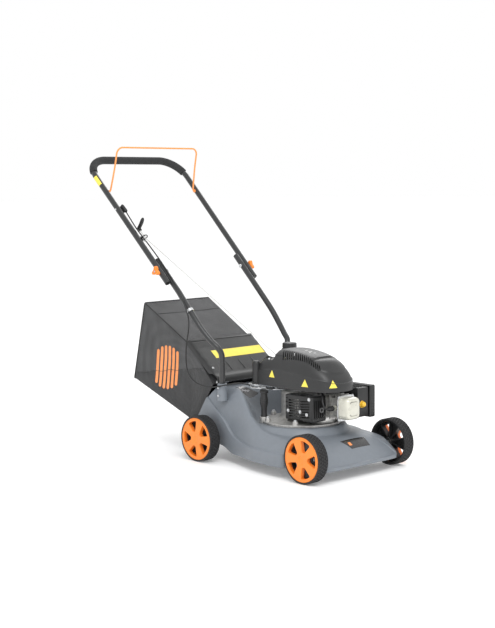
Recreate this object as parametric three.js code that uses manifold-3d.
// Walk-behind rotary petrol mower with a folding handle and a rear grass bag. Millimetres, +Z up.
// X runs to the machine's left, Y to its rear. Inside the group, Y = 0 lies midway between the axles;
// what hangs on the rear is placed from the rear axle, and the engine from its own seat on the deck.
import * as THREE from 'three';
import { mergeVertices } from 'three/addons/utils/BufferGeometryUtils.js';
import Module from 'manifold-3d';

const wasm = await Module();
wasm.setup();

// ---------------------------------------------------------------- driving dimensions
const gap = 0.3;                      // between pieces that rest on each other
const runGap = 0.6;                   // around anything that turns or slides
const over = 5;                       // how far a cutting tool runs past what it cuts
const wheelbase = 491.4;
const halfTrack = 225;                // to the outer face of the wheels
const wheel = {
  radius: 76.6, width: 42.6, rim: 5, coverDepth: 6, coverInset: 1, hubRadius: 15,
  webDepth: 4, spokes: 5, windowInner: 27, windowOuter: 57, windowHalfAngle: 0.32, sides: 24,
};
const axle = { radius: 6, endInset: 10 };
const deck = {
  wall: 4, plateau: 142, flangeRadius: 140, crankHole: 45, creaseInset: 8, sideGap: 10.4,
  floorFrontY: -62, floorFrontZ: 62, floorRearY: 70, floorRearZ: 136,
  mouthTopY: -5.7, mouthTopZ: 245, mouthBottomY: 65.3, mouthBottomZ: 141,
  socketTop: 262, socketWall: 6, socketBottom: 200, lug: 6, lugAt: 121, lugHalfDepth: 8,
};
const engineY = -29;
const blade = { radius: 192, width: 50, thickness: 3, drop: -90, tipLength: 60, tipLift: 9 };
const crank = { radius: 12, bottom: -86, top: 146 };
const tube = { radius: 10, wall: 1.5, sides: 8 };
const handle = {
  baseX: 152, baseY: -55.7, baseZ: 208, tilt: 43.9, pivotX: 184.2, pivotY: 198.3, pivotZ: 629.5,
  spread: 0.0206, lowerEnd: 50, upperStart: -55, barAt: 556, corner: 88, foamFrom: 1,
  foamRadius: 14, foamGap: 0.8,
};
const bolt = { radius: 3.5, headRadius: 7, headDepth: 4 };
const knob = { radius: 18, depth: 13, hub: 9, lobes: 3, points: 24 };
const bail = {
  radius: 3, pivotAt: 391, leanY: -36, rise: 156.4, corner: 24, armX: 187,
  kinkEnd: 22, kinkOut: 6, straightFrom: 90,
};
const flap = {
  half: 149, hingeY: -23.7, hingeZ: 262, topY: 118.3, topZ: 393, wall: 3, skirt: 18,
  kneeY: -12, kneeZ: 289, lipOut: 2, lipIn: 3, lipRise: 14, rod: 3, barrel: 8,
  knuckleInner: 126, knuckleOuter: 146, lugRoom: 1, reliefDrop: 30,
  springWire: 3, springLength: 22,
};
const bag = {
  wall: 2.5, wire: 4, mouthHalf: 144, flapHalf: 145, rearHalf: 152,
  mouthTop: [-2, 254], flapEnd: [112, 376], rearTop: [348.3, 509],
  mouthBottom: [74, 139], frontBottom: [125.3, 122], rearBottom: [414.3, 233],
};
const crankcase = {
  flange: 132, flangeDepth: 8, radius: 66, top: 106, wall: 8, rimStep: 20, rimRise: 2,
  footOut: 14, footRise: 6, footTop: 14, boss: 9, bossTop: 20, bossInset: 11,
  bossAngles: [160, 215, 325, 20, 95], fillerSeat: 3, fillerSeatTop: 20,
};
const cover = {
  bottom: 120, wall: 3, spineFront: -100, spineRear: 70, noseRoof: 218, roofFrom: 0.8,
  neckGap: 3, ropeHole: 4, roofRoom: 60,
};
const flywheel = { radius: 78, bottom: 122, depth: 18 };
const pulley = { radius: 34, bottom: 154, depth: 13, post: 5, groove: 5, flangeWidth: 4 };
const cylinder = {
  left: 47, right: -22, bottom: 28, top: 105, rear: -87, front: -188, fins: 6, fin: 3, finReach: 9,
  wall: 14, head: 20,
};
const plug = {
  y: -172, z: 66, thread: 6, threadIn: 8, threadLength: 16, hex: 9, hexOut: 16, stem: 4, stemOut: 38,
  boot: 8, bootFrom: 18, bootOut: 46,
};
const rocker = {
  x: 5, z: 66, width: 63, height: 72, depth: 41, wall: 3, lip: 5, corner: 16, crown: 8, crownInset: 5,
};
const guard = {
  right: -90, left: -25, front: -136, rear: -14, bottom: 21, top: 103, wall: 2,
  rows: 6, columns: 2, sideMargin: 12, slotFloor: 14, slotRoof: 10, columnGap: 6, columnRoom: 30,
  frontSlots: 6, frontSlot: 4.5, frontPitch: 9,
};
const muffler = {
  right: -80, left: -28, front: -126, rear: -76, bottom: 32, top: 90, pipe: 11, pipeY: -100, pipeZ: 60,
  pipeDepth: 30,
};
const carburettor = { front: -150, rear: -112, bottom: 52, top: 84, bowlFrom: 6, bowlTo: 22, bowlLow: 34 };
const filter = {
  right: 75, split: 130, left: 157, front: -181, rear: -71, bottom: 23, top: 119, wall: 3, coverLip: 5,
  throatRadius: 12, throatY: -131, throatZ: 68, elementRoom: 3, elementFront: 12,
};
const primer = { x: 97, z: 65, radius: 10, lip: 1.5, seat: 6, depth: 14.6, bore: 6, boreDepth: 8 };
const filler = {
  x: -104, y: 69, radius: 11, wall: 2.5, top: 98, seat: 20, stick: 3, stickLength: 80, capRadius: 14,
  capPlate: 6, capDepth: 14, wingReach: 17, wingHalf: 2,
};
const tank = { x: 61, y: 105.5, width: 48, length: 55, bottom: 144, top: 176, wall: 2.5 };
const coil = { half: 16, depth: 25, clearance: 3, height: 14 };
const bladeAdapter = { radius: 24, height: 18 };
const bladeBolt = { head: 12, headDepth: 7, shank: 4.1 };
const neck = { x: 64, y: 117, radius: 16, top: 243.4, wall: 2.5 };
const fuelCap = { radius: 25, depth: 17, wall: 3 };
const ropeRadius = 2;
const cableRadius = 2.5;

const frontAxleY = -wheelbase / 2;
const rearAxleY = wheelbase / 2;
const axleZ = wheel.radius;
const noseHalf = halfTrack - wheel.width - deck.sideGap;
const chuteHalf = handle.baseX + bolt.headDepth;

// ---------------------------------------------------------------- finishes
const look = (color, roughness, metalness = 0) =>
  new THREE.MeshStandardMaterial({ color, roughness, metalness });
const looks = {
  deck: () => look(0x8b9199, 0.55),
  black: () => look(0x26272a, 0.5),
  rubber: () => look(0x2c2c2d, 0.85),
  orange: () => look(0xf47b20, 0.45),
  tubing: () => look(0x2f3033, 0.35, 0.3),
  steel: () => look(0xb9bbbd, 0.35, 0.9),
  alloy: () => look(0xa9aaa8, 0.45, 0.8),
  cream: () => look(0xd8d9d0, 0.4, 0.4),
  cloth: () => look(0x3a3b3e, 0.95),
  rope: () => look(0xe8e8e6, 0.9),
  yellow: () => look(0xf2b21c, 0.5),
};

// ---------------------------------------------------------------- shape tools
const vec = (x, y, z) => new THREE.Vector3(x, y, z);
const lerp = THREE.MathUtils.lerp;

// A closed mesh as a solid that can be joined and cut; its faces are turned out if they point in.
function solid(geometry) {
  const bare = new THREE.BufferGeometry();
  bare.setAttribute('position', geometry.getAttribute('position'));
  bare.setIndex(geometry.index);
  const merged = mergeVertices(bare, 1e-4);
  const place = merged.getAttribute('position');
  const [a, b, c] = [vec(), vec(), vec()];
  const faces = [];
  let volume = 0;
  for (let i = 0; i < merged.index.count; i += 3) {
    const [p, q, r] = [0, 1, 2].map((k) => merged.index.getX(i + k));
    if (p === q || q === r || r === p) continue;
    faces.push([p, q, r]);
    a.fromBufferAttribute(place, p);
    volume += a.dot(b.fromBufferAttribute(place, q).cross(c.fromBufferAttribute(place, r)));
  }
  if (volume < 0) faces.forEach((face) => face.reverse());
  const triVerts = Uint32Array.from(faces.flat());
  return new wasm.Manifold(new wasm.Mesh({ numProp: 3, vertProperties: place.array, triVerts }));
}

// Names a solid, gives it its finish and puts it in its place.
function piece(name, body, material, parent) {
  const { vertProperties, triVerts } = body.getMesh();
  const geometry = new THREE.BufferGeometry();
  geometry.setAttribute('position', new THREE.BufferAttribute(Float32Array.from(vertProperties), 3));
  geometry.setIndex(new THREE.BufferAttribute(Uint32Array.from(triVerts), 1));
  geometry.computeVertexNormals();
  const mesh = new THREE.Mesh(geometry, material());
  mesh.name = name;
  parent.add(mesh);
  return mesh;
}

const box = (x0, x1, y0, y1, z0, z1) => solid(new THREE.BoxGeometry(x1 - x0, y1 - y0, z1 - z0)
  .translate((x0 + x1) / 2, (y0 + y1) / 2, (z0 + z1) / 2));

// A profile of [radius, distance along the axis], turned about X, Y or Z and moved to a point.
function turned(profile, axis, at = [0, 0, 0], sides = 20, start = 0) {
  const outline = profile.map(([r, t]) => new THREE.Vector2(r, t));
  const shape = new THREE.LatheGeometry(outline, sides, start);
  if (axis === 'z') shape.rotateX(Math.PI / 2);
  if (axis === 'x') shape.rotateZ(-Math.PI / 2);
  return solid(shape.translate(...at));
}

// A rod from t0 to t1 along an axis. A hole is drawn round its radius, so that a rod fits in it.
const rod = (radius, t0, t1, axis, at, sides, start) =>
  turned([[0, t0], [radius, t0], [radius, t1], [0, t1]], axis, at, sides, start);
const hole = (radius, t0, t1, axis, at, sides = 16) =>
  rod(radius / Math.cos(Math.PI / sides), t0, t1, axis, at, sides);

function polygon(points) {
  return new THREE.Shape(points.map(([x, y]) => new THREE.Vector2(x, y)));
}

const circle = (radius, sides) => Array.from({ length: sides }, (_, i) => {
  const angle = (2 * Math.PI * i) / sides;
  return [radius * Math.cos(angle), radius * Math.sin(angle)];
});

// An outline in X and Y, from z0 to z1.
const plate = (points, z0, z1) =>
  solid(new THREE.ExtrudeGeometry(polygon(points), { depth: z1 - z0, bevelEnabled: false })
    .translate(0, 0, z0));

// An outline in Y and Z, from x0 to x1.
const sidePlate = (points, x0, x1) =>
  solid(new THREE.ExtrudeGeometry(polygon(points), { depth: x1 - x0, bevelEnabled: false })
    .applyMatrix4(new THREE.Matrix4().makeBasis(vec(0, 1, 0), vec(0, 0, 1), vec(1, 0, 0)))
    .translate(x0, 0, 0));

// A line through given points, with one step of the sweep from each to the next.
class Route extends THREE.Curve {
  constructor(points) {
    super();
    this.points = points.map((p) => vec(...p));
  }
  getPoint(t) {
    return this.points[Math.round(t * (this.points.length - 1))].clone();
  }
  getPointAt(t) {
    return this.getPoint(t);
  }
  getSpacedPoints() {
    return this.points;
  }
  getTangentAt(t) {
    const at = Math.round(t * (this.points.length - 1));
    const [before, after] = [Math.max(at - 1, 0), Math.min(at + 1, this.points.length - 1)];
    const [a, b, c] = [this.points[before], this.points[at], this.points[after]];
    const ahead = c.clone().sub(b).normalize();
    return b.clone().sub(a).normalize().add(ahead).normalize();
  }
}

// A round bar along a route; with a bore it is a tube.
function bar(points, radius, bore = 0, sides = 10) {
  const section = polygon(circle(radius, sides));
  if (bore) section.holes.push(polygon(circle(bore / Math.cos(Math.PI / sides), sides).reverse()));
  const extrudePath = new Route(points);
  const steps = points.length - 1;
  return solid(new THREE.ExtrudeGeometry(section, { steps, extrudePath, bevelEnabled: false }));
}

// A smooth line through a few points.
const smooth = (points, steps) =>
  new THREE.CatmullRomCurve3(points.map((p) => vec(...p)), false, 'centripetal')
    .getSpacedPoints(steps).map((p) => p.toArray());

// A skin over rings of equally many points, closed at both ends by a fan to the ring's middle. A bridged
// top joins the ring's two halves, which mirror each other, instead.
function loft(rings, bridged = false) {
  const count = rings[0].length;
  const points = rings.flat();
  const faces = [];
  for (let k = 0; k + 1 < rings.length; k++) {
    for (let i = 0; i < count; i++) {
      const [a, b] = [k * count + i, k * count + ((i + 1) % count)];
      faces.push(a, b, b + count, a, b + count, a + count);
    }
  }
  const last = (rings.length - 1) * count;
  for (let i = 0; bridged && i < count / 2; i++) {
    const [a, b] = [last + i, last + i + 1];
    const [c, d] = [last + count - i - 1, last + ((count - i) % count)];
    faces.push(a, b, c, a, c, d);
  }
  for (const [first, flip] of bridged ? [[0, true]] : [[0, true], [last, false]]) {
    const ring = points.slice(first, first + count);
    const middle = [0, 1, 2].map((axis) => ring.reduce((sum, p) => sum + p[axis], 0) / count);
    const centre = points.push(middle) - 1;
    for (let i = 0; i < count; i++) {
      const [a, b] = [first + i, first + ((i + 1) % count)];
      faces.push(...(flip ? [b, a, centre] : [a, b, centre]));
    }
  }
  const geometry = new THREE.BufferGeometry();
  geometry.setAttribute('position', new THREE.Float32BufferAttribute(points.flat(), 3));
  geometry.setIndex(faces);
  return solid(geometry);
}

// A strip of even thickness below an open line in Y and Z.
function ribbon(line, thickness) {
  const below = line.map((p, i) => {
    const [a, b] = [line[Math.max(i - 1, 0)], line[Math.min(i + 1, line.length - 1)]];
    const length = Math.hypot(b[0] - a[0], b[1] - a[1]);
    return [p[0] + (thickness * (b[1] - a[1])) / length, p[1] - (thickness * (b[0] - a[0])) / length];
  });
  return [...line, ...below.reverse()];
}

const both = (make) => [-1, 1].map(make);
const join = (first, ...rest) => rest.flat().reduce((sum, body) => sum.add(body), first);
const cut = (first, ...rest) => rest.flat().reduce((left, body) => left.subtract(body), first);

const mower = new THREE.Group();
const rear = new THREE.Group();
rear.position.y = rearAxleY;
const engine = new THREE.Group();
engine.position.set(0, engineY, deck.plateau + gap);
mower.add(rear, engine);

// ---------------------------------------------------------------- deck
// Stations round the skirt, from the front middle to the rear middle: how far out, which line its
// place is measured from, how far behind that, then the heights of the skirt's lower edge and of the
// crease above it, and where the ridge inside it runs and how high. The ridge has a radius round the
// blade, or at the tail a distance in from the skirt. The volute under the deck grows towards the rear,
// so the ridge of the right-hand side rises sooner than that of the left.
const fromNose = (y) => frontAxleY + y;
const fromBlade = (y) => engineY + y;
const fromTail = (y) => rearAxleY + y;
const bulge = blade.radius + 24.5;
const stations = [
  { x: 0, y: fromNose(-62.3), sill: 35, crease: 47, ridge: 165, right: 118, left: 118 },
  { x: noseHalf - 62, y: fromNose(-61), sill: 35, crease: 47, ridge: 165, right: 118, left: 118 },
  { x: noseHalf - 14, y: fromNose(-56), sill: 35, crease: 50, ridge: 165, right: 118, left: 118 },
  { x: noseHalf - 1, y: fromNose(-40), sill: 35, crease: 62, ridge: 165, right: 118, left: 118 },
  { x: noseHalf, y: fromNose(8), sill: 35, crease: 94, ridge: 165, right: 118, left: 118 },
  { x: noseHalf + 1, y: fromNose(62), sill: 35, crease: 104, ridge: 165, right: 118, left: 118 },
  { x: noseHalf + 14, y: fromNose(84), sill: 35, crease: 92, ridge: 165, right: 119, left: 118 },
  { x: bulge - 4, y: fromBlade(-120), sill: 35, crease: 82, ridge: 165, right: 120, left: 118 },
  { x: bulge, y: fromBlade(-71), sill: 35, crease: 80, ridge: 165, right: 123, left: 118 },
  { x: bulge - 4.5, y: fromBlade(-21), sill: 35, crease: 80, ridge: 165, right: 128, left: 119 },
  { x: bulge - 13.5, y: fromBlade(35), sill: 35, crease: 80, ridge: 166, right: 140, left: 122 },
  { x: bulge - 34.5, y: fromBlade(104), sill: 35, crease: 84, ridge: 174, right: 172, left: 136 },
  { x: chuteHalf + 9, y: fromTail(-110.7), sill: 35, crease: 100, inward: 42.5, right: 216, left: 190 },
  { x: chuteHalf + 2, y: fromTail(-62), sill: 52, crease: 145, inward: 53, right: 243, left: 236 },
  { x: chuteHalf, y: fromTail(0), sill: 60, crease: 192, inward: 90.9, right: 245, left: 245 },
  { x: chuteHalf - 1, y: fromTail(52), sill: 60, crease: 238, inward: 126.6, right: 245, left: 245 },
  { x: chuteHalf - 16, y: fromTail(66), sill: 60, crease: 243, inward: 133.3, right: 245, left: 245 },
  { x: 0, y: fromTail(66), sill: 60, crease: 243, inward: 105.7, right: 245, left: 245 },
];

function deckSpokes() {
  const placed = stations.map((s) =>
    ({ ...s, ridge: s.ridge ?? Math.hypot(s.x, s.y - engineY) - s.inward }));
  const rightSide = placed.map((s) => ({ ...s, x: -s.x, top: s.right }));
  const leftSide = placed.slice(1, -1).map((s) => ({ ...s, top: s.left })).reverse();
  const loop = [...rightSide, ...leftSide];
  const perStation = 2;
  const blend = (key, i, t) => {
    const [a, b, c, d] = [-1, 0, 1, 2].map((k) => loop[(i + k + loop.length) % loop.length][key]);
    return b + 0.5 * t * (c - a + t * (2 * a - 5 * b + 4 * c - d + t * (3 * (b - c) + d - a)));
  };
  const spokes = [];
  for (let i = 0; i < loop.length; i++) {
    for (let k = 0; k < perStation; k++) {
      const at = (key) => blend(key, i, k / perStation);
      spokes.push({ x: at('x'), y: at('y'), sill: at('sill'), crease: at('crease'),
        ridge: at('ridge'), top: at('top') });
    }
  }
  return spokes;
}

// The deck's outside, or, with an inset, the space under it.
function deckSkin(spokes, inset, drop) {
  const outward = [0.45, 1];
  const inward = [0.5, 1];
  const columns = spokes.map((s, i) => {
    const [before, after] = [spokes.at(i - 1), spokes[(i + 1) % spokes.length]];
    const along = new THREE.Vector2(after.x - before.x, after.y - before.y).normalize();
    const facesOut = s.y * along.x - engineY * along.x - s.x * along.y > 0 ? -1 : 1;
    const moved = (d) => [s.x - facesOut * along.y * d, s.y + facesOut * along.x * d];
    const edge = moved(inset);
    const shoulder = moved(inset + deck.creaseInset);
    const reach = Math.hypot(shoulder[0], shoulder[1] - engineY);
    const [outX, outY] = [shoulder[0] / reach, (shoulder[1] - engineY) / reach];
    const ray = (r, z) => [outX * r, engineY + outY * r, z];
    const crease = s.crease - inset;
    const top = s.top - inset;
    const rising = THREE.MathUtils.clamp((s.top - deck.plateau) / 20, -1, 1);
    const column = [[...edge, s.sill - drop], [...shoulder, crease]];
    for (const t of outward) {
      column.push(ray(lerp(reach, s.ridge, t), lerp(crease, top, 1 - (1 - t) ** 2)));
    }
    for (const t of inward) {
      const z = lerp(top, deck.plateau - inset, THREE.MathUtils.smoothstep(t, 0, 1));
      column.push(ray(lerp(s.ridge, deck.flangeRadius + inset * rising, t), z));
    }
    return column;
  });
  return loft(columns[0].map((_, k) => columns.map((column) => column[k])));
}

function deckShell() {
  const spokes = deckSpokes();
  const outside = deckSkin(spokes, 0, 0);
  const sockets = both((side) => rod(tube.radius + deck.socketWall, deck.socketBottom, deck.socketTop,
    'z', [side * handle.baseX, fromTail(handle.baseY), 0]));
  const floorLine = [[deck.floorRearY, deck.floorRearZ], [deck.floorFrontY, deck.floorFrontZ]];
  const floor = sidePlate(ribbon(floorLine.map(([y, z]) => [fromTail(y), z]), -deck.wall),
    -halfTrack, halfTrack).intersect(outside);
  const lugs = both((side) => box(side * deck.lugAt - deck.lug / 2, side * deck.lugAt + deck.lug / 2,
    fromTail(flap.hingeY - deck.lugHalfDepth), fromTail(flap.hingeY + deck.lugHalfDepth),
    deck.mouthTopZ - deck.wall, flap.hingeZ + deck.lugHalfDepth));
  const mouth = sidePlate([[deck.mouthTopY, deck.mouthTopZ], [deck.mouthBottomY, deck.mouthBottomZ],
    [deck.mouthBottomY + over * 20, deck.mouthBottomZ], [deck.mouthBottomY + over * 20, flap.topZ],
    [deck.mouthTopY, flap.topZ]].map(([y, z]) => [fromTail(y), z]), -halfTrack, halfTrack);
  const slots = [frontAxleY, rearAxleY].map((y) => box(-halfTrack, halfTrack, y - axle.radius - runGap,
    y + axle.radius + runGap, 0, axleZ + axle.radius + runGap));
  const bores = both((side) => hole(tube.radius + gap, handle.baseZ - gap, deck.socketTop + over, 'z',
    [side * handle.baseX, fromTail(handle.baseY), 0]));
  const crankHole = hole(deck.crankHole, 0, deck.plateau + over, 'z', [0, engineY, 0]);
  const hinge = [0, fromTail(flap.hingeY), flap.hingeZ];
  const rodHole = hole(flap.rod + gap, -chuteHalf, chuteHalf, 'x', hinge);
  const shell = cut(outside, deckSkin(spokes, deck.wall, over * 4), mouth);
  return cut(join(shell, floor, lugs, sockets), slots, bores, crankHole, rodHole);
}
piece('deck_shell', deckShell(), looks.deck, mower);

// ---------------------------------------------------------------- axles and wheels
// In a wheel's own frame X runs inwards from its outer face.
const hubStart = wheel.coverInset + wheel.coverDepth + gap;
const rimRadius = wheel.radius - wheel.rim;

// The tyre stands on one of its flats.
function wheelBody() {
  const { width, hubRadius, webDepth, sides } = wheel;
  const radius = wheel.radius / Math.cos(Math.PI / sides);
  const chamfer = 3;
  const tyre = turned([[rimRadius, 0], [radius - chamfer, 0], [radius, chamfer],
    [radius, width - chamfer], [radius - chamfer, width], [rimRadius, width], [rimRadius, 0]],
  'x', [0, 0, 0], sides, Math.PI / sides);
  const web = rod(rimRadius + 1, width / 2 - webDepth, width / 2, 'x', [0, 0, 0], sides);
  const hub = rod(hubRadius, hubStart, width, 'x');
  return cut(join(tyre, web, hub), hole(axle.radius + gap, -over, width + over, 'x'));
}

function coverWindow(index) {
  const middle = (2 * Math.PI * index) / wheel.spokes;
  const corner = (radius, angle) =>
    [radius * Math.cos(middle + angle), radius * Math.sin(middle + angle)];
  const [outer, inner] = [wheel.windowHalfAngle, wheel.windowHalfAngle * 0.6];
  return sidePlate([corner(wheel.windowInner, -inner), corner(wheel.windowOuter, -outer),
    corner(wheel.windowOuter, outer), corner(wheel.windowInner, inner)], -over, wheel.width + over);
}

function wheelCover() {
  const face = rod(rimRadius - runGap, wheel.coverInset, wheel.coverInset + wheel.coverDepth, 'x',
    [0, 0, 0], wheel.sides, Math.PI / wheel.sides);
  return cut(face, Array.from({ length: wheel.spokes }, (_, i) => coverWindow(i)));
}

const wheelSolid = wheelBody();
const coverSolid = wheelCover();
const axleSolid = rod(axle.radius, -halfTrack + axle.endInset, halfTrack - axle.endInset, 'x');
for (const [end, y] of [['front', frontAxleY], ['rear', rearAxleY]]) {
  piece(`${end}_axle`, axleSolid, looks.steel, mower).position.set(0, y, axleZ);
  for (const [side, sign] of [['right', -1], ['left', 1]]) {
    const corner = new THREE.Group();
    corner.position.set(sign * halfTrack, y, axleZ);
    corner.rotation.z = sign < 0 ? 0 : Math.PI;
    mower.add(corner);
    piece(`wheel_${end}_${side}`, wheelSolid, looks.rubber, corner);
    piece(`wheel_cover_${end}_${side}`, coverSolid, looks.orange, corner);
  }
}

// ---------------------------------------------------------------- handle
// Both halves of the handle share one sloping line, the upper tube outside the lower one.
const tilt = THREE.MathUtils.degToRad(handle.tilt);
const upperX = handle.pivotX + 2 * tube.radius + runGap;
const alongHandle = (side, x, s) => [side * (x + handle.spread * s),
  handle.pivotY + s * Math.cos(tilt), handle.pivotZ + s * Math.sin(tilt)];
const tubeBore = tube.radius - tube.wall;
const boltSides = 12;
const cornerSteps = 6;
const boltHole = () => hole(bolt.radius + gap, -halfTrack - over, halfTrack + over, 'x',
  [0, handle.pivotY, handle.pivotZ], boltSides);

function lowerLine(side) {
  const { baseX, baseY, baseZ, pivotX, lowerEnd } = handle;
  const bend = smooth([[side * baseX, baseY, baseZ + 138], [side * (baseX + 3), baseY + 1, baseZ + 156],
    [side * (baseX + 12), baseY + 8, baseZ + 174], [side * (baseX + 19), baseY + 30, baseZ + 193],
    [side * (baseX + 28), baseY + 70, baseZ + 233], [side * (baseX + 31), baseY + 105, baseZ + 272],
    alongHandle(side, pivotX, -100)], 12);
  return [[side * baseX, baseY, baseZ], ...bend, alongHandle(side, pivotX, lowerEnd)];
}

// The upper handle's line from one corner to the other, each corner's arc in even steps. Left-out
// steps shorten both arcs from below.
function gripLine(leftOut) {
  const cornerStart = handle.barAt - handle.corner;
  const half = upperX + handle.spread * cornerStart;
  const arc = Array.from({ length: cornerSteps + 1 }, (_, k) => (90 * k) / cornerSteps).slice(leftOut);
  const onArc = (side, degrees) => {
    const angle = THREE.MathUtils.degToRad(degrees);
    const [, y, z] = alongHandle(side, 0, cornerStart + handle.corner * Math.sin(angle));
    return [side * (half - handle.corner * (1 - Math.cos(angle))), y, z];
  };
  return [...arc.map((a) => onArc(-1, a)), ...arc.reverse().map((a) => onArc(1, a))];
}

const bailPivot = alongHandle(1, upperX, bail.pivotAt);

function upperHandle() {
  const route = [alongHandle(-1, upperX, handle.upperStart), ...gripLine(0),
    alongHandle(1, upperX, handle.upperStart)];
  const bailHoles = both((side) => hole(bail.radius + gap, tubeBore / 2, 2 * tube.radius, 'x',
    [side * bailPivot[0] - (side > 0 ? 2.5 * tube.radius : 0), bailPivot[1], bailPivot[2]], 12));
  return cut(bar(route, tube.radius, tubeBore, tube.sides), boltHole(), bailHoles);
}

function bailLever() {
  const { armX, corner, leanY, rise } = bail;
  const [x, y, z] = bailPivot;
  const reach = Math.hypot(leanY, rise);
  const up = (px, t) => [px, y + (leanY * t) / reach, z + (rise * t) / reach];
  const arm = [up(x - tube.radius / 2, 0), up(x - tube.radius - 4, 0), up(x - 2 * tube.radius + 2, 6),
    up(armX + bail.kinkOut, bail.kinkEnd), up(armX + 1, bail.straightFrom), up(armX, reach - corner)];
  for (const degrees of [30, 60, 90]) {
    const angle = THREE.MathUtils.degToRad(degrees);
    arm.push(up(armX - corner * (1 - Math.cos(angle)), reach - corner * (1 - Math.sin(angle))));
  }
  const mirrored = arm.map(([px, py, pz]) => [-px, py, pz]);
  return bar([...mirrored, ...arm.reverse()], bail.radius, 0, 8);
}

const knobX = upperX + tube.radius + runGap;

function knobSolid() {
  const points = Array.from({ length: knob.points }, (_, i) => {
    const angle = (2 * Math.PI * i) / knob.points;
    const reach = lerp(knob.hub, knob.radius, (1 + Math.cos(knob.lobes * angle)) / 2);
    return [reach * Math.sin(angle), reach * Math.cos(angle)];
  });
  return cut(sidePlate(points, 0, knob.depth),
    hole(bolt.radius + gap, -over, knob.depth + over, 'x', [0, 0, 0], boltSides));
}

function handleBolt() {
  const headFace = handle.pivotX - tube.radius - gap;
  const head = rod(bolt.headRadius, headFace - bolt.headDepth, headFace, 'x', [0, 0, 0], 6);
  return join(head, rod(bolt.radius, headFace - 1, knobX + knob.depth + gap, 'x', [0, 0, 0], boltSides));
}

piece('upper_handle', upperHandle(), looks.tubing, rear);
piece('foam_grip', bar(gripLine(handle.foamFrom), handle.foamRadius, tube.radius + handle.foamGap,
  tube.sides), looks.rubber, rear);
piece('bail_lever', bailLever(), looks.orange, rear);
for (const [side, sign] of [['right', -1], ['left', 1]]) {
  const lowerTube = bar(lowerLine(sign), tube.radius, tubeBore, tube.sides);
  piece(`lower_handle_${side}`, cut(lowerTube, boltHole()), looks.tubing, rear);
  const pivot = new THREE.Group();
  pivot.position.set(0, handle.pivotY, handle.pivotZ);
  pivot.rotation.z = sign > 0 ? 0 : Math.PI;
  rear.add(pivot);
  piece(`handle_bolt_${side}`, handleBolt(), looks.steel, pivot);
  piece(`knob_${side}`, knobSolid(), looks.orange, pivot).position.x = knobX;
}

// ---------------------------------------------------------------- rear flap
const flapRod = [0, flap.hingeY, flap.hingeZ];

function rearFlap() {
  const lipY = flap.hingeY - flap.barrel - flap.lipOut;
  const line = [[lipY, flap.hingeZ], [lipY + flap.lipIn, flap.hingeZ + flap.lipRise],
    [flap.kneeY, flap.kneeZ], [flap.topY, flap.topZ]];
  const top = sidePlate(ribbon(line, flap.wall), -flap.half, flap.half);
  const skirtLine = line.slice(2);
  const skirts = both((side) => sidePlate(ribbon(skirtLine, flap.skirt),
    side < 0 ? -flap.half : flap.half - flap.wall, side < 0 ? -flap.half + flap.wall : flap.half));
  const knuckles = both((side) => rod(flap.barrel, side < 0 ? -flap.knuckleOuter : flap.knuckleInner,
    side < 0 ? -flap.knuckleInner : flap.knuckleOuter, 'x', flapRod, 16));
  const bore = hole(flap.rod + gap, -flap.half - over, flap.half + over, 'x', flapRod, 16);
  const reliefHalf = deck.lug / 2 + flap.lugRoom;
  const reliefs = both((side) => box(side * deck.lugAt - reliefHalf, side * deck.lugAt + reliefHalf,
    lipY - over, flap.hingeY + deck.lugHalfDepth + flap.lugRoom, flap.hingeZ - flap.reliefDrop,
    flap.hingeZ + deck.lugHalfDepth + 2 * flap.lugRoom));
  return cut(join(top, skirts, knuckles), bore, reliefs);
}
piece('rear_flap', rearFlap(), looks.black, rear);
const rodReach = flap.knuckleOuter + 2;
piece('flap_hinge_rod', rod(flap.rod, -rodReach, rodReach, 'x', flapRod, boltSides), looks.steel, rear);

// A torsion spring round the rod, drawn as the tube that its coils fill.
const springAt = -deck.lugAt + deck.lug / 2 + 2;
const [springIn, springOut] = [flap.rod + runGap, flap.rod + flap.springWire];
piece('flap_spring', turned([[springIn, 0], [springOut, 0], [springOut, flap.springLength],
  [springIn, flap.springLength], [springIn, 0]], 'x', [springAt, flap.hingeY, flap.hingeZ], boltSides),
looks.steel, rear);

// ---------------------------------------------------------------- grass bag
// Rings of four corners, from the mouth to the back; the inside starts in front of the mouth.
function bagSkin(inset, forward) {
  const ring = (half, [topY, topZ], [bottomY, bottomZ], shift) => {
    const length = Math.hypot(bottomY - topY, bottomZ - topZ);
    const [dy, dz] = [((bottomY - topY) * inset) / length, ((bottomZ - topZ) * inset) / length];
    const [topAft, bottomAft] = [topY + dy + shift, bottomY - dy + shift];
    return [[-half + inset, topAft, topZ + dz], [half - inset, topAft, topZ + dz],
      [half - inset, bottomAft, bottomZ - dz], [-half + inset, bottomAft, bottomZ - dz]];
  };
  return loft([
    ring(bag.mouthHalf, bag.mouthTop, bag.mouthBottom, -forward),
    ring(bag.flapHalf, bag.flapEnd, bag.frontBottom, 0),
    ring(bag.rearHalf, bag.rearTop, bag.rearBottom, -inset),
  ]);
}
piece('grass_bag', cut(bagSkin(0, 0), bagSkin(bag.wall, over)), looks.cloth, rear);

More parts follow.
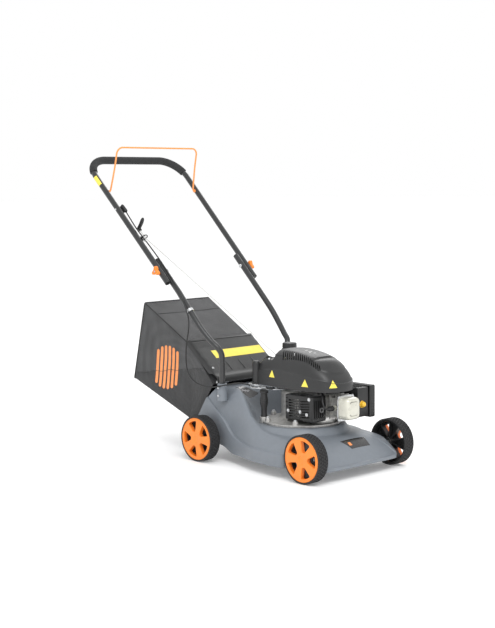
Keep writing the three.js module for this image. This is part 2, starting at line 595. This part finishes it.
function bagFrame() {
  const margin = bag.wall + bag.wire + 2;
  const half = bag.mouthHalf - margin;
  const [topY, topZ] = [bag.mouthTop[0] + margin * 2, bag.mouthTop[1] + margin / 2];
  const [lowY, lowZ] = [bag.mouthBottom[0] + margin, bag.mouthBottom[1] + margin];
  const [endY, endZ] = [bag.flapEnd[0] + margin, bag.flapEnd[1] - margin];
  const [backY, backZ] = [bag.rearTop[0] - margin * 2, bag.rearTop[1] - margin * 2];
  const wire = (a, b) => bar([a, b], bag.wire, 0, 6);
  const joint = ([x, y, z]) => solid(new THREE.SphereGeometry(bag.wire, 6, 4).translate(x, y, z));
  const corners = both((side) => [[side * half, topY, topZ], [side * half, lowY, lowZ],
    [side * half, endY, endZ], [side * half, backY, backZ]]);
  const sides = corners.map(([top, low, end, back]) =>
    [wire(low, top), wire(top, end), wire(end, back)]).flat();
  const across = [0, 1, 3].map((k) => wire(corners[0][k], corners[1][k]));
  return join(sides[0], sides.slice(1), across, corners.flat().map(joint));
}
piece('bag_frame', bagFrame(), looks.steel, rear);

// ---------------------------------------------------------------- engine, blade side
const upright = [0, 0, 0];

function crankcaseBody() {
  const { flange, flangeDepth, radius, top, wall } = crankcase;
  const { rimStep, rimRise, footOut, footRise, footTop, fillerSeatTop } = crankcase;
  const bore = crank.radius + runGap;
  const body = turned([[bore, 0], [flange, 0], [flange, flangeDepth],
    [flange - rimStep, flangeDepth + rimRise], [radius + footOut, flangeDepth + footRise],
    [radius, flangeDepth + footTop], [radius, top], [bore, top], [bore, top - wall],
    [radius - wall, top - wall], [radius - wall, flangeDepth + wall], [bore, flangeDepth + wall],
    [bore, 0]], 'z', upright, 28);
  const bosses = crankcase.bossAngles.map((degrees) => {
    const angle = THREE.MathUtils.degToRad(degrees);
    const reach = flange - crankcase.bossInset;
    const at = [reach * Math.cos(angle), reach * Math.sin(angle), 0];
    return rod(crankcase.boss, 1, crankcase.bossTop, 'z', at, 8);
  });
  const fillerAt = [filler.x, filler.y, 0];
  const fillerSeat = rod(filler.radius + crankcase.fillerSeat, 1, fillerSeatTop, 'z', fillerAt, 14);
  const fillerBore = hole(filler.radius - filler.wall, flangeDepth, fillerSeatTop + over, 'z',
    fillerAt, 14);
  return cut(join(body, bosses, fillerSeat), fillerBore);
}
piece('crankcase', crankcaseBody(), looks.alloy, engine);

piece('crankshaft', turned([[0, crank.bottom], [crank.radius, crank.bottom], [crank.radius, crank.top],
  [0, crank.top]], 'z', upright, 20), looks.steel, engine);
const flywheelTop = flywheel.bottom + flywheel.depth;
piece('flywheel', cut(rod(flywheel.radius, flywheel.bottom, flywheelTop, 'z', upright, 32),
  hole(crank.radius + gap, flywheel.bottom - over, flywheelTop + over, 'z', upright, 20)),
looks.steel, engine);

const bladeTop = blade.drop + blade.thickness;
piece('blade_adapter', cut(
  rod(bladeAdapter.radius, bladeTop + gap, bladeTop + bladeAdapter.height, 'z', upright, 20),
  hole(crank.radius + gap, blade.drop, 0, 'z', upright, 20)), looks.steel, engine);

function cuttingBlade() {
  const half = blade.width / 2;
  const top = bladeTop;
  const tip = blade.radius * 0.98;
  const span = (side, x0, x1) => [Math.min(side * x0, side * x1), Math.max(side * x0, side * x1)];
  const notches = both((side) => box(...span(side, tip - blade.tipLength, tip + over),
    ...span(side, half * 0.5, half + over), blade.drop - over, top + over));
  const lifts = both((side) => sidePlate([[half * 0.3, blade.drop], [half, blade.drop + blade.tipLift],
    [half, top + blade.tipLift], [half * 0.3, top]].map(([y, z]) => [side * y, z]),
  ...span(side, tip - blade.tipLength, tip)));
  const flat = cut(box(-tip, tip, -half, half, blade.drop, top), notches);
  return cut(join(flat, lifts),
    hole(bladeBolt.shank + gap, blade.drop - over, top + over, 'z', upright, boltSides));
}
piece('blade', cuttingBlade(), looks.steel, engine);
const boltSeat = blade.drop - gap;
piece('blade_bolt', join(rod(bladeBolt.head, boltSeat - bladeBolt.headDepth, boltSeat, 'z', upright, 6),
  rod(bladeBolt.shank, boltSeat - 1, bladeTop, 'z', upright, boltSides)), looks.steel, engine);

// ---------------------------------------------------------------- engine, cylinder and exhaust
function cylinderBlock() {
  const { left, right, bottom, top, rear: back, front, fins, fin, finReach, wall, head } = cylinder;
  const core = box(right + finReach, left - finReach, front, back, bottom + finReach, top - finReach);
  const pitch = (back - front - fin) / (fins - 1);
  const plates = Array.from({ length: fins }, (_, i) =>
    box(right, left, front + i * pitch, front + i * pitch + fin, bottom, top));
  const middle = [(left + right) / 2, 0, (bottom + top) / 2];
  const bore = hole((left - right) / 2 - wall, front + head, back + over, 'y', middle, 20);
  const plugHole = hole(plug.thread + gap, right - over, right + plug.threadLength, 'x',
    [0, plug.y, plug.z], boltSides);
  const plugHalf = plug.hex + 1;
  const plugRoom = box(right - over, right + finReach, plug.y - plugHalf, plug.y + plugHalf,
    bottom - over, top + over);
  return cut(join(core, plates), bore, plugHole, plugRoom);
}
piece('cylinder', cylinderBlock(), looks.alloy, engine);

function rockerCover() {
  const { x, z, width, height, depth, wall, lip, corner } = rocker;
  const face = cylinder.front - gap;
  const outline = (w, h, r) => {
    const shape = [];
    for (const [sx, sz, start] of [[1, 1, 0], [-1, 1, 90], [-1, -1, 180], [1, -1, 270]]) {
      for (const step of [0, 45, 90]) {
        const angle = THREE.MathUtils.degToRad(start + step);
        const [px, pz] = [x + sx * (w / 2 - r), z + sz * (h / 2 - r)];
        shape.push([px + r * Math.cos(angle), pz + r * Math.sin(angle)]);
      }
    }
    return shape;
  };
  const ring = (w, h, r, y) => outline(w, h, r).map(([px, pz]) => [px, y, pz]);
  const skin = (inset, start) => {
    const [w, h] = [width - 2 * inset, height - 2 * inset];
    const crowned = 2 * rocker.crownInset;
    return loft([ring(w, h, corner - inset, start),
      ring(w, h, corner - inset, face - depth + rocker.crown + inset),
      ring(w - crowned, h - crowned, corner - wall - inset, face - depth + inset)]);
  };
  const flange = loft([ring(width + 2 * lip, height + 2 * lip, corner, face),
    ring(width + 2 * lip, height + 2 * lip, corner, face - lip)]);
  return cut(join(skin(0, face), flange), skin(wall, face + over));
}
piece('rocker_cover', rockerCover(), looks.cream, engine);

const plugSeat = cylinder.right + cylinder.finReach;
const plugAt = [0, plug.y, plug.z];
piece('spark_plug', join(
  rod(plug.thread, plugSeat - plug.threadIn, plugSeat + plug.thread, 'x', plugAt, boltSides),
  rod(plug.hex, plugSeat - plug.hexOut, plugSeat - plug.threadIn, 'x', plugAt, 6),
  rod(plug.stem, plugSeat - plug.stemOut, plugSeat - plug.threadIn - 2, 'x', plugAt, boltSides)),
looks.cream, engine);
piece('spark_plug_boot', cut(
  rod(plug.boot, plugSeat - plug.bootOut, plugSeat - plug.bootFrom, 'x', plugAt, boltSides),
  hole(plug.stem + gap, plugSeat - plug.stemOut - 1, plugSeat, 'x', plugAt, boltSides)),
looks.black, engine);

const caseRoom = () => hole(crankcase.radius + 2, 0, guard.top + over, 'z', upright, 48);
function mufflerGuard() {
  const { right, left, front, rear: back, bottom, top, wall } = guard;
  const shell = cut(box(right, left, front, back, bottom, top),
    box(right + wall, left + over, front + wall, back - wall, bottom + wall, top - wall));
  const cuts = [];
  const pitch = (top - bottom - guard.slotFloor - guard.slotRoof) / guard.rows;
  const bay = (back - front - guard.columnRoom) / guard.columns;
  for (let row = 0; row < guard.rows; row++) {
    for (let column = 0; column < guard.columns; column++) {
      const y = front + guard.sideMargin + column * (bay + guard.columnGap);
      const z = bottom + guard.slotFloor + row * pitch;
      cuts.push(box(right - over, right + wall + 1, y, y + bay, z, z + pitch / 2));
    }
  }
  for (let i = 0; i < guard.frontSlots; i++) {
    const x = right + (i + 1) * guard.frontPitch;
    cuts.push(box(x, x + guard.frontSlot, front - over, front + wall + 1,
      bottom + guard.sideMargin, top - guard.slotFloor));
  }
  return cut(shell, caseRoom(), cuts);
}
piece('muffler_guard', mufflerGuard(), looks.black, engine);
piece('muffler', cut(
  box(muffler.right, muffler.left, muffler.front, muffler.rear, muffler.bottom, muffler.top),
  hole(muffler.pipe, muffler.left - muffler.pipeDepth, muffler.left + over, 'x',
    [0, muffler.pipeY, muffler.pipeZ], boltSides)), looks.steel, engine);

// ---------------------------------------------------------------- engine, air and fuel
const carbX = cylinder.left + gap;
const { bowlFrom, bowlTo, bowlLow } = carburettor;
piece('carburettor', join(
  box(carbX, filter.right - gap, carburettor.front, carburettor.rear, carburettor.bottom, carburettor.top),
  box(carbX + bowlFrom, carbX + bowlTo, carburettor.front - 4, carburettor.rear + 4, bowlLow,
    carburettor.bottom + 2)), looks.alloy, engine);

function filterHousing() {
  const { right, split, front, rear: back, bottom, top, wall } = filter;
  const shell = cut(box(right, split, front, back, bottom, top),
    box(right + wall, split + over, front + wall, back - wall, bottom + wall, top - wall));
  const throat = hole(filter.throatRadius, right - over, right + wall + over, 'x',
    [0, filter.throatY, filter.throatZ], 16);
  const primerHole = hole(primer.radius + primer.lip + gap, front - over, front + wall + over, 'y',
    [primer.x, 0, primer.z], 20);
  return cut(shell, throat, primerHole);
}
piece('air_filter_housing', filterHousing(), looks.black, engine);
const elementGap = filter.wall + filter.elementRoom;
piece('air_filter_element', box(filter.right + elementGap, filter.split - 2,
  filter.front + elementGap + filter.elementFront, filter.rear - elementGap,
  filter.bottom + elementGap, filter.top - elementGap), looks.cloth, engine);
function filterCover() {
  const { split, left, front, rear: back, bottom, top, wall, coverLip } = filter;
  const inner = coverLip - wall;
  return cut(box(split + gap, left, front - coverLip, back + coverLip, bottom - coverLip, top + coverLip),
    box(split - over, left - wall, front - inner, back + inner, bottom - inner, top + inner));
}
piece('air_filter_cover', filterCover(), looks.black, engine);
const engineFront = new THREE.Group();
engineFront.position.set(primer.x, filter.front + primer.lip, primer.z);
engineFront.rotation.z = Math.PI;
engine.add(engineFront);
const { radius: bulbRadius, lip: bulbLip, seat: bulbSeat, depth: bulbDepth } = primer;
piece('primer_bulb', cut(turned([[0, 0], [bulbRadius + bulbLip, 0], [bulbRadius + bulbLip, bulbLip],
  [bulbRadius, bulbLip], [bulbRadius, bulbSeat], [bulbRadius * 0.8, bulbDepth * 0.75],
  [bulbRadius * 0.4, bulbDepth * 0.96], [0, bulbDepth]], 'y', upright, 20),
hole(primer.bore, -over, primer.boreDepth, 'y', upright, 16)), looks.yellow, engineFront);

function fuelTank() {
  const { x, y, width, length, bottom, top, wall } = tank;
  const block = (inset) => box(x - width / 2 + inset, x + width / 2 - inset,
    y - length / 2 + inset, y + length / 2 - inset, bottom + inset, top - inset);
  const shell = cut(block(0), block(wall));
  const spout = rod(neck.radius, top - wall, neck.top, 'z', [neck.x, neck.y, 0]);
  return cut(join(shell, spout), hole(neck.radius - neck.wall, top - wall * 2, neck.top + over, 'z',
    [neck.x, neck.y, 0]));
}
piece('fuel_tank', fuelTank(), looks.cream, engine);
piece('fuel_cap', cut(rod(fuelCap.radius, 0, fuelCap.depth, 'z', upright, 28),
  hole(neck.radius + runGap, -over, fuelCap.depth - fuelCap.wall, 'z', upright, 28)), looks.black, engine)
  .position.set(neck.x, neck.y, neck.top + fuelCap.wall + gap - fuelCap.depth);

// ---------------------------------------------------------------- engine cover, starter and controls
// Stations from the cover's rear middle to its front middle: the half widths to the right and to the
// left, where the fuel tank needs more room, then the place along Y and the roof's height.
const coverLine = [[0, 0, 149, 208], [60, 80, 149, 208], [76, 100, 142, 211], [83, 107, 105, 228],
  [88, 104, 40, 240], [91, 97, -20, 239], [91, 91, -80, 229], [84, 84, -130, 211], [66, 66, -170, 192],
  [38, 38, -190, 180], [0, 0, -196, 176]];
// Steps up the cover's side and over its roof: how far in towards the spine, how far up to the roof.
const coverSteps = [[0, 0], [0.012, 0.3], [0.045, 0.52], [0.13, 0.72], [0.28, 0.87], [0.52, 0.97],
  [0.8, 1]];

function coverSkin(inset) {
  const loop = [...coverLine.map(([right, , y, roof]) => [-right, y, roof]),
    ...coverLine.slice(1, -1).reverse().map(([, left, y, roof]) => [left, y, roof])];
  return loft(coverSteps.map(([inward, up], k) => loop.map(([x, y, roof]) => {
    const spineY = THREE.MathUtils.clamp(y, cover.spineFront, cover.spineRear);
    const [dx, dy] = [x, y - spineY];
    const reach = Math.hypot(dx, dy);
    const scale = reach ? (reach * (1 - inward) - inset) / reach : 1;
    const low = k ? cover.bottom : cover.bottom - (inset ? over : 0);
    const nose = y < cover.spineFront ? THREE.MathUtils.smoothstep(inward, 0, cover.roofFrom) : 0;
    const height = lerp(roof, cover.noseRoof, nose) - cover.bottom;
    return [dx * scale, spineY + dy * scale, low + height * up - (k ? inset : 0)];
  })), true);
}

// The pull rope leaves through the floor of a trough, which runs out over the cover's rear corner.
const trough = { x: -20, y: 89, floor: 208, half: 15, back: -14, reach: 90, heading: 108.4 };
function troughBlock(margin, bottom) {
  const heading = THREE.MathUtils.degToRad(trough.heading);
  const corner = (along, across) => [trough.x + along * Math.cos(heading) - across * Math.sin(heading),
    trough.y + along * Math.sin(heading) + across * Math.cos(heading)];
  const half = trough.half + margin;
  const [back, reach] = [trough.back - margin, trough.reach];
  return plate([corner(back, -half), corner(reach, -half), corner(reach, half), corner(back, half)],
    bottom, trough.floor + cover.roofRoom);
}

function engineCover() {
  const outside = coverSkin(0);
  const roof = trough.floor + cover.roofRoom;
  const post = rod(pulley.post, pulley.bottom - 4, roof, 'z', upright, boltSides);
  const extras = join(post, troughBlock(cover.wall, trough.floor - cover.wall)).intersect(outside);
  const shell = join(cut(outside, coverSkin(cover.wall)), extras);
  const neckHole = hole(neck.radius + cover.neckGap, tank.top, roof, 'z', [neck.x, neck.y, 0]);
  const ropeHole = hole(cover.ropeHole, trough.floor - 2 * over, roof, 'z', [trough.x, trough.y, 0],
    boltSides);
  return cut(shell, troughBlock(0, trough.floor), neckHole, ropeHole);
}
piece('engine_cover', engineCover(), looks.black, engine);
const { radius: reelRadius, depth: reelDepth, groove, flangeWidth } = pulley;
const reelBore = pulley.post + runGap;
piece('starter_pulley', turned([[reelBore, 0], [reelRadius, 0], [reelRadius - groove, flangeWidth],
  [reelRadius - groove, reelDepth - flangeWidth], [reelRadius, reelDepth], [reelBore, reelDepth],
  [reelBore, 0]], 'z', upright, 28), looks.black, engine).position.z = pulley.bottom;
const coilBack = -flywheel.radius - coil.clearance;
piece('ignition_coil', box(-coil.half, coil.half, coilBack - coil.depth, coilBack, flywheel.bottom,
  flywheel.bottom + coil.height), looks.black, engine);

const bracket = {
  outline: [[-20, 30], [-44, 34], [-76, 56], [-98, 140], [-86, 146], [-64, 110], [-36, 60]],
  bottom: crankcase.top + gap, thickness: 2, tab: [-98, -86, 138, 140], tabHeight: 14,
};
piece('control_bracket', join(
  plate(bracket.outline, bracket.bottom, bracket.bottom + bracket.thickness),
  box(...bracket.tab, bracket.bottom, bracket.bottom + bracket.tabHeight)), looks.steel, engine);
const brake = {
  pivot: [-70, 96], outline: [[-6, -6], [6, -6], [8, 22], [2, 34], [-8, 30]], thickness: 3,
};
piece('brake_lever', plate(brake.outline, 0, brake.thickness), looks.steel, engine)
  .position.set(...brake.pivot, bracket.bottom + bracket.thickness + runGap);

function fillerTube() {
  const { radius, wall, top } = filler;
  const bottom = crankcase.fillerSeatTop + gap;
  return cut(turned([[0, bottom], [radius, bottom], [radius - 2, bottom + 20], [radius + 2, bottom + 44],
    [radius + 2, bottom + 62], [radius, top], [0, top]], 'z', [filler.x, filler.y, 0], 16),
  hole(radius - wall - 2, bottom - over, top + over, 'z', [filler.x, filler.y, 0], 16));
}
piece('oil_filler_tube', fillerTube(), looks.black, engine);
const { wingHalf, wingReach, capPlate } = filler;
const wings = [[-wingHalf, -wingReach], [wingHalf, -wingReach], [wingHalf, wingReach],
  [-wingHalf, wingReach]];
piece('dipstick', join(rod(filler.capRadius, 0, capPlate, 'z', upright, 16),
  plate(wings, capPlate - 1, filler.capDepth), rod(filler.stick, -filler.stickLength, 1, 'z', upright, 8)),
looks.black, engine)
  .position.set(filler.x, filler.y, filler.top + gap);

// ---------------------------------------------------------------- starter grip, guides and cords
// The fittings sit on the inner side of the right-hand tube: s runs up the handle, and the second
// number is the distance above it.
function besideHandle(x, s, above) {
  const [, y, z] = alongHandle(-1, 0, s);
  return [x, y - above * Math.sin(tilt), z + above * Math.cos(tilt)];
}
// A group whose Y runs up the handle and whose Z stands off it.
function onHandle(x, s, above) {
  const group = new THREE.Group();
  group.position.set(...besideHandle(x, s, above));
  group.rotation.x = tilt;
  rear.add(group);
  return group;
}
const innerFace = (s) => -(upperX + handle.spread * s) + tube.radius;

const guide = { s: 152, above: 10.5, x: -187, inner: 9, wire: 2 };
function ropeGuide() {
  const middle = guide.inner + guide.wire;
  const ring = turned(circle(guide.wire, 6).concat([[guide.wire, 0]]).map(([r, t]) => [middle + r, t]),
    'y', upright, 16);
  const seat = innerFace(guide.s) + gap - guide.x;
  return join(ring, box(seat, seat + guide.wire, -9, 9, -guide.above - 8, -guide.above + 8));
}
piece('rope_guide', ropeGuide(), looks.black, onHandle(guide.x, guide.s, guide.above));

const anchor = { s: 282, above: 8, length: 34, x: -191, radius: 6.5 };
function cableAnchor() {
  const seat = innerFace(anchor.s) + gap + 0.5 - anchor.x;
  const sleeve = rod(anchor.radius, 0, anchor.length, 'y', upright, 12);
  const foot = box(seat, 0, 2, anchor.length - 2, -anchor.above - 4, -anchor.above + 6);
  return cut(join(sleeve, foot), hole(cableRadius + gap, -over, anchor.length - 8, 'y', upright, 8));
}
piece('cable_anchor', cableAnchor(), looks.black, onHandle(anchor.x, anchor.s, anchor.above));

const grip = { s: 186, above: 9, x: -182.5, radius: 8.5, length: 54, below: 12, stem: 9, stemLength: 14 };
function starterHandle() {
  const { radius, length, below, stem, stemLength } = grip;
  const above = length - below;
  const cross = turned([[0, -below], [radius * 0.7, -below], [radius, -below + 8], [radius, above - 12],
    [radius * 0.8, above - 3], [0, above]], 'z', [0, stemLength, 0], 14);
  const neckPiece = turned([[0, 0], [stem * 0.6, 0], [stem * 0.8, stemLength], [0, stemLength]], 'y',
    upright, boltSides);
  return cut(join(cross, neckPiece), hole(ropeRadius + gap, -over, stemLength, 'y', upright, 8));
}
piece('starter_handle', starterHandle(), looks.black, onHandle(grip.x, grip.s, grip.above));

// The pull rope runs through the guide's ring, where its two stretches meet, to the grip.
const ropeTurn = besideHandle(grip.x, guide.s, grip.above);
piece('rope_stub', rod(ropeRadius, 1, grip.s - guide.s + 8, 'y', upright, 8), looks.rope,
  onHandle(grip.x, guide.s, grip.above));
const ropeRoute = [[trough.x, engineY + trough.y, deck.plateau + trough.floor + 2],
  [ropeTurn[0], fromTail(ropeTurn[1]), ropeTurn[2] - 0.5]];
piece('starter_rope', bar(ropeRoute, ropeRadius, 0, 8), looks.rope, mower);

// The brake cable: down the handle, over the lower tube at its clip, hanging free, and in to its bracket.
const cableRoute = [[-191, 645, 833.5], [-193.5, 610, 800.5], [-194.5, 582, 774], [-192, 547, 741.8],
  [-191.5, 513, 713.2], [-190, 459.5, 665.3], [-189, 418, 624], [-189, 383, 587], [-193.5, 350, 554],
  [-199.3, 325, 522], [-199.8, 308, 490], [-197, 305, 466], [-193, 312, 434], [-190, 324, 400],
  [-188, 332, 365], [-186, 335, 331], [-184, 332, 299], [-182, 320, 276], [-180, 297, 259],
  [-177.5, 262, 250], [-176, 224, 248.5], [-173, 184, 255], [-160, 160, 261], [-140, 140, 265],
  [-122, 128, 265], [-106, 120, 261], [-95.5, 114.2, 257]];
piece('brake_cable', bar(smooth(cableRoute, 52), cableRadius, 0, 8), looks.black, mower);

// A clip round the right-hand lower tube, above its bend.
const clip = { step: 9, half: 5, wall: 2.5 };
function cableClip() {
  const ringOut = rod(tube.radius + clip.wall, -clip.half, clip.half, 'y', upright, 16);
  const ringIn = hole(tube.radius + runGap, -clip.half - over, clip.half + over, 'y', upright, 16);
  return cut(ringOut, ringIn);
}
const [clipBelow, clipAbove] = lowerLine(-1).slice(clip.step, clip.step + 2).map((p) => vec(...p));
const clipFrame = new THREE.Group();
clipFrame.position.lerpVectors(clipBelow, clipAbove, 0.5);
clipFrame.quaternion.setFromUnitVectors(vec(0, 1, 0), clipAbove.clone().sub(clipBelow).normalize());
rear.add(clipFrame);
piece('cable_clip', cableClip(), looks.steel, clipFrame);

// The whole stands with its middle over the origin.
const span = new THREE.Box3().setFromObject(mower);
mower.position.y = -(span.min.y + span.max.y) / 2;

export default mower;
